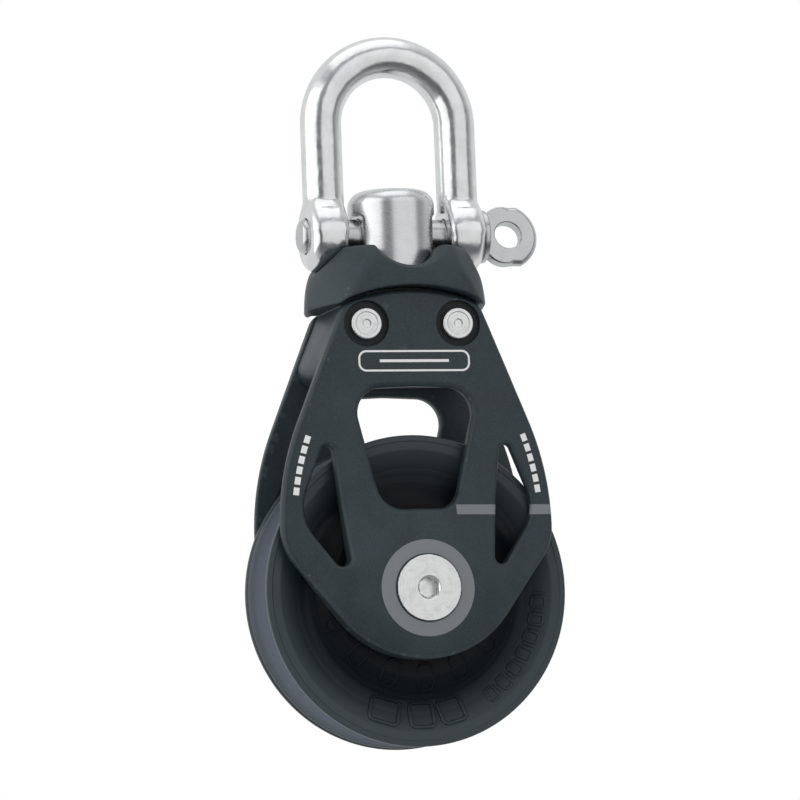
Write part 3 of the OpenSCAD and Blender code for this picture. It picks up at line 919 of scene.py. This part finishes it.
def satin_steel(name, rough, stretch, painted_shade=1.0):
    """Turned or blasted stainless steel. Painted shade darkens its colour by the given factor."""
    finish = Finish(name, Metallic=1.0)
    fine = finish.noise(0.12, 3, stretch)
    patches = finish.noise(2.4, 3)
    finish.colour(
        toned((0.78, 0.785, 0.785), painted_shade),
        (patches.ranged(0.3, 0.7), toned((0.72, 0.73, 0.73), painted_shade)),
        (fine.ranged(0.45, 0.8, 0, 0.14), toned((0.62, 0.625, 0.62), painted_shade)),
    )
    finish.drive("Roughness", fine.ranged(0.3, 0.7, rough - 0.02, rough + 0.03))
    finish.bump((fine, 0.0001), (patches, 0.002))
    return finish.material


def faced_steel(name, x0, z0):
    """Steel faced on a lathe, with faint rings round an axis along Y on each side of the middle."""
    finish = Finish(name, Metallic=1.0)
    r = (abs(finish.x) - x0).length(finish.z - z0)
    marks = finish.rings(r, 0.16)
    cloud = finish.noise(0.9, 4)
    finish.colour(
        (0.86, 0.86, 0.85),
        (marks.ranged(0.4, 0.75), (0.76, 0.765, 0.76)),
        (cloud.ranged(0.5, 0.8, 0, 0.35), (0.6, 0.6, 0.6)),
    )
    finish.drive("Roughness", cloud.ranged(0.3, 0.7, 0.24, 0.4))
    finish.bump((marks, 0.003), (cloud, 0.003))
    return finish.material


def moulded(name, base, rough, grain_size=0.2):
    """Moulded or machined plastic with a faint sheen, fine grain and slow shade changes."""
    finish = Finish(name)
    grain = finish.noise(grain_size, 3)
    slow = finish.noise(5, 3)
    finish.colour(
        base,
        (slow.ranged(0.35, 0.7), toned(base, 1.4, 0.004)),
        (grain.ranged(0.5, 0.8, 0, 0.4), toned(base, 1.8, 0.006)),
    )
    finish.drive("Roughness", slow.ranged(0.3, 0.7, rough - 0.05, rough + 0.06))
    finish.bump((grain, 0.006), (slow, 0.01))
    return finish.material


def sheave_plastic():
    """Black acetal, with painted shade that darkens its faces and lowers their sheen towards the hub, paler
    in the rope groove, with faint turning marks on its faces.
    """
    finish = Finish("sheave_acetal")
    r = finish.x.length(finish.z)
    marks = finish.rings(r, 0.22)
    grain = finish.noise(0.15, 3)
    groove = (abs(finish.y) - 4.15).inside(0.12) * r.ranged(15.6, 16.0)
    pale = (0.026, 0.041, 0.047)
    # Painted shade: the faces stay near black round the hub and turn paler outwards
    clear_of_painted_shade = r.ranged(15.0, 21.0, 0, 0.9)
    finish.colour(
        (0.004, 0.006, 0.007),
        (clear_of_painted_shade, pale),
        (groove, (0.23, 0.265, 0.31)),
        (marks.ranged(0.4, 0.8, 0, 0.12), pale),
        (grain.ranged(0.5, 0.8, 0, 0.2), pale),
    )
    # The sheen follows the painted shade too, lower towards the hub
    finish.drive("Specular IOR Level", clear_of_painted_shade.most(groove) * 0.42 + 0.11)
    finish.drive("Roughness", grain.ranged(0.2, 0.8, 0.31, 0.44))
    finish.bump((marks, 0.002), (grain, 0.006))
    return finish.material


# ---- Pieces ----

cheek_print = anodised("front_cheek_alloy", (0.021, 0.032, 0.037), printed=True)
cheek_plain = anodised("cheek_alloy", (0.021, 0.032, 0.037))
head_alloy = anodised("head_alloy", (0.021, 0.032, 0.038))
steel_polished = polished_steel()
# The pin's steel is the satin steel darkened as painted shade, so its eye reflects less brightly
steel_pin = satin_steel("pin_steel", 0.25, (1.5, 1.5, 1.5), 0.76)
steel_satin = satin_steel("satin_steel", 0.27, (8, 8, 1))
steel_screw = faced_steel("screw_steel", 0, 0)
steel_rivet = faced_steel("rivet_steel", RIVET_X, RIVET_Z)
steel_race = satin_steel("race_steel", 0.2, (3, 1, 3))
composite = moulded("composite_bearing", (0.33, 0.2, 0.07), 0.5)
acetal_white = moulded("acetal_white", (0.74, 0.72, 0.66), 0.32)
rubber = moulded("seal_rubber", (0.012, 0.012, 0.012), 0.62, 0.08)

make_cheek("front_cheek", -1, cheek_print)
make_cheek("rear_cheek", 1, cheek_plain)

make_solid("head_saddle", head_field, "head_piece", 0.22, 0.6, "block", head_alloy)
make_solid("post_drum", post_field, "swivel_post", 0.18, 0.7, "post", steel_satin)
make_solid("shackle_rod", bow_field, "shackle_bow", 0.2, 1.0, "shackle", steel_polished)
make_solid("pin_and_eye", pin_field, "shackle_pin", 0.16, 1.0, "pin", steel_pin)
make_screw("front_axle_screw", -1, steel_screw)
make_screw("rear_axle_screw", 1, steel_screw)

rivet_mesh = make_mesh("rivet_pair", *rivet_parts())
make_piece("rivet_pair", rivet_mesh, "block", ["head_rivets"], steel_rivet)
sheave_mesh = make_mesh("sheave_body", *sheave_parts())
make_piece("sheave_body", sheave_mesh, "sheave", ["sheave"], sheave_plastic())

# CAD pieces that are shown as they are
CARRIED = {
    "post_nut": ("satin_steel", steel_satin),
    "post_washer": ("satin_steel", steel_satin),
    "post_bushing": ("acetal_white", acetal_white),
    "post_o_ring": ("seal_rubber", rubber),
    "rivet_sleeves": ("fastener_steel", steel_satin),
    "axle_tube": ("race_steel", steel_race),
    "front_thrust_race": ("race_steel", steel_race),
    "rear_thrust_race": ("race_steel", steel_race),
    "front_ball_cage": ("composite_bearing", composite),
    "rear_ball_cage": ("composite_bearing", composite),
    "front_balls": ("acetal_white", acetal_white),
    "rear_balls": ("acetal_white", acetal_white),
    "sleeve_bushing": ("composite_bearing", composite),
}
for node, (slot, material) in CARRIED.items():
    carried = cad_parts[node]
    for place in carried.material_slots:
        place.material = material

# ---- Stage, lights and camera ----

# Places are in metres, angles in degrees, the lens and its sensor in millimetres
CAMERA_TURN, CAMERA_RISE, CAMERA_ROLL = -17.0, -5.74, -2.17
ORIGIN_SEEN = Vector((0.743, -28.04, 720.0)) * MM  # to the right of the camera, up from it and ahead of it
LENS, SENSOR = 223.3, 36
FLOOR_Z, FLOOR_HALF_W = -0.14, 3.0
LIGHTS_AIM = Vector((0, 0, 0.03))
LIGHTS_DISTANCE = 0.8


def direction(turn, rise):
    """Unit vector from the object towards a turn about Z (0 is the front) and a rise above level."""
    a, e = math.radians(turn), math.radians(rise)
    return Vector((math.sin(a) * math.cos(e), -math.cos(a) * math.cos(e), math.sin(e)))


def softbox(name, turn, rise, width, height, brightness):
    """A rectangular studio light that faces the object. Brightness is what it shows as in a mirror."""
    light = bpy.data.lights.new(name, "AREA")
    light.shape = "RECTANGLE"
    light.size, light.size_y = width, height
    light.energy = brightness * math.pi * width * height
    lamp = bpy.data.objects.new(name, light)
    bpy.context.scene.collection.objects.link(lamp)
    lamp.location = LIGHTS_AIM + direction(turn, rise) * LIGHTS_DISTANCE
    lamp.rotation_euler = direction(turn, rise).to_track_quat("Z", "Y").to_euler()
    lamp.visible_camera = False
    return lamp


def make_stage():
    """A pale floor below the hanging block."""
    mesh = bpy.data.meshes.new("floor")
    half = FLOOR_HALF_W
    corners = [(x * half, y * half, FLOOR_Z) for x, y in ((-1, -1), (1, -1), (1, 1), (-1, 1))]
    mesh.from_pydata(corners, [], [(0, 1, 2, 3)])
    floor = bpy.data.objects.new("floor", mesh)
    bpy.context.scene.collection.objects.link(floor)
    finish = Finish("floor_paper", Roughness=0.8)
    finish.colour((0.86, 0.86, 0.86), (finish.noise(40, 4).ranged(0.3, 0.7), (0.9, 0.9, 0.9)))
    mesh.materials.append(finish.material)
    floor.visible_glossy = False


def make_world():
    """White to the camera; for light and reflections, grey in front and pale behind and above."""
    world = bpy.data.worlds.new("studio")
    bpy.context.scene.world = world
    world.use_nodes = True
    tree = world.node_tree
    seen = tree.nodes["Background"]
    seen.inputs["Color"].default_value = (1, 1, 1, 1)
    around = tree.nodes.new("ShaderNodeBackground")
    ramp = tree.nodes.new("ShaderNodeValToRGB")
    split = tree.nodes.new("ShaderNodeSeparateXYZ")
    tree.links.new(tree.nodes.new("ShaderNodeTexCoord").outputs["Generated"], split.inputs[0])
    height = Value(tree, split.outputs[2]) * 0.5 + 0.5
    tree.links.new(height.socket, ramp.inputs[0])
    steps = ((0.0, 0.16), (0.35, 0.13), (0.5, 0.16), (0.75, 0.3), (1.0, 0.5))
    while len(ramp.color_ramp.elements) < len(steps):
        ramp.color_ramp.elements.new(0.5)
    for element, (place, level) in zip(ramp.color_ramp.elements, steps):
        element.position = place
        element.color = (level * 0.97, level, level * 1.05, 1)
    behind = tree.nodes.new("ShaderNodeMix")
    behind.data_type = "RGBA"
    tree.links.new(Value(tree, split.outputs[1]).ranged(-0.6, 0.3).socket, behind.inputs["Factor"])
    tree.links.new(ramp.outputs[0], behind.inputs["A"])
    behind.inputs["B"].default_value = (0.76, 0.77, 0.78, 1)
    tree.links.new(behind.outputs["Result"], around.inputs["Color"])
    mix = tree.nodes.new("ShaderNodeMixShader")
    tree.links.new(tree.nodes.new("ShaderNodeLightPath").outputs["Is Camera Ray"], mix.inputs[0])
    tree.links.new(around.outputs[0], mix.inputs[1])
    tree.links.new(seen.outputs[0], mix.inputs[2])
    tree.links.new(mix.outputs[0], tree.nodes["World Output"].inputs[0])


def make_camera():
    """A camera a little left of the front and a little below the block, as the photograph's was."""
    back = direction(CAMERA_TURN, CAMERA_RISE)
    right = (-back).cross(Vector((0, 0, 1))).normalized()
    up = right.cross(-back)
    roll = math.radians(CAMERA_ROLL)
    c, s = math.cos(roll), math.sin(roll)
    right, up = c * right + s * up, c * up - s * right
    place = back * ORIGIN_SEEN.z - right * ORIGIN_SEEN.x - up * ORIGIN_SEEN.y
    data = bpy.data.cameras.new("camera")
    data.lens, data.sensor_width = LENS, SENSOR
    data.clip_start, data.clip_end = 0.05, 20
    camera = bpy.data.objects.new("camera", data)
    bpy.context.scene.collection.objects.link(camera)
    turn = Matrix((right, up, back)).transposed().to_4x4()
    camera.matrix_world = Matrix.Translation(place) @ turn
    bpy.context.scene.camera = camera


make_stage()
make_world()
softbox("key_right", 21, 8, 1.05, 1.1, 0.64)
softbox("key_left", -76, 8, 1.1, 1.1, 1.05)
softbox("top", 0, 82, 0.8, 0.8, 0.65)
make_camera()
bpy.context.scene.view_settings.view_transform = "Standard"
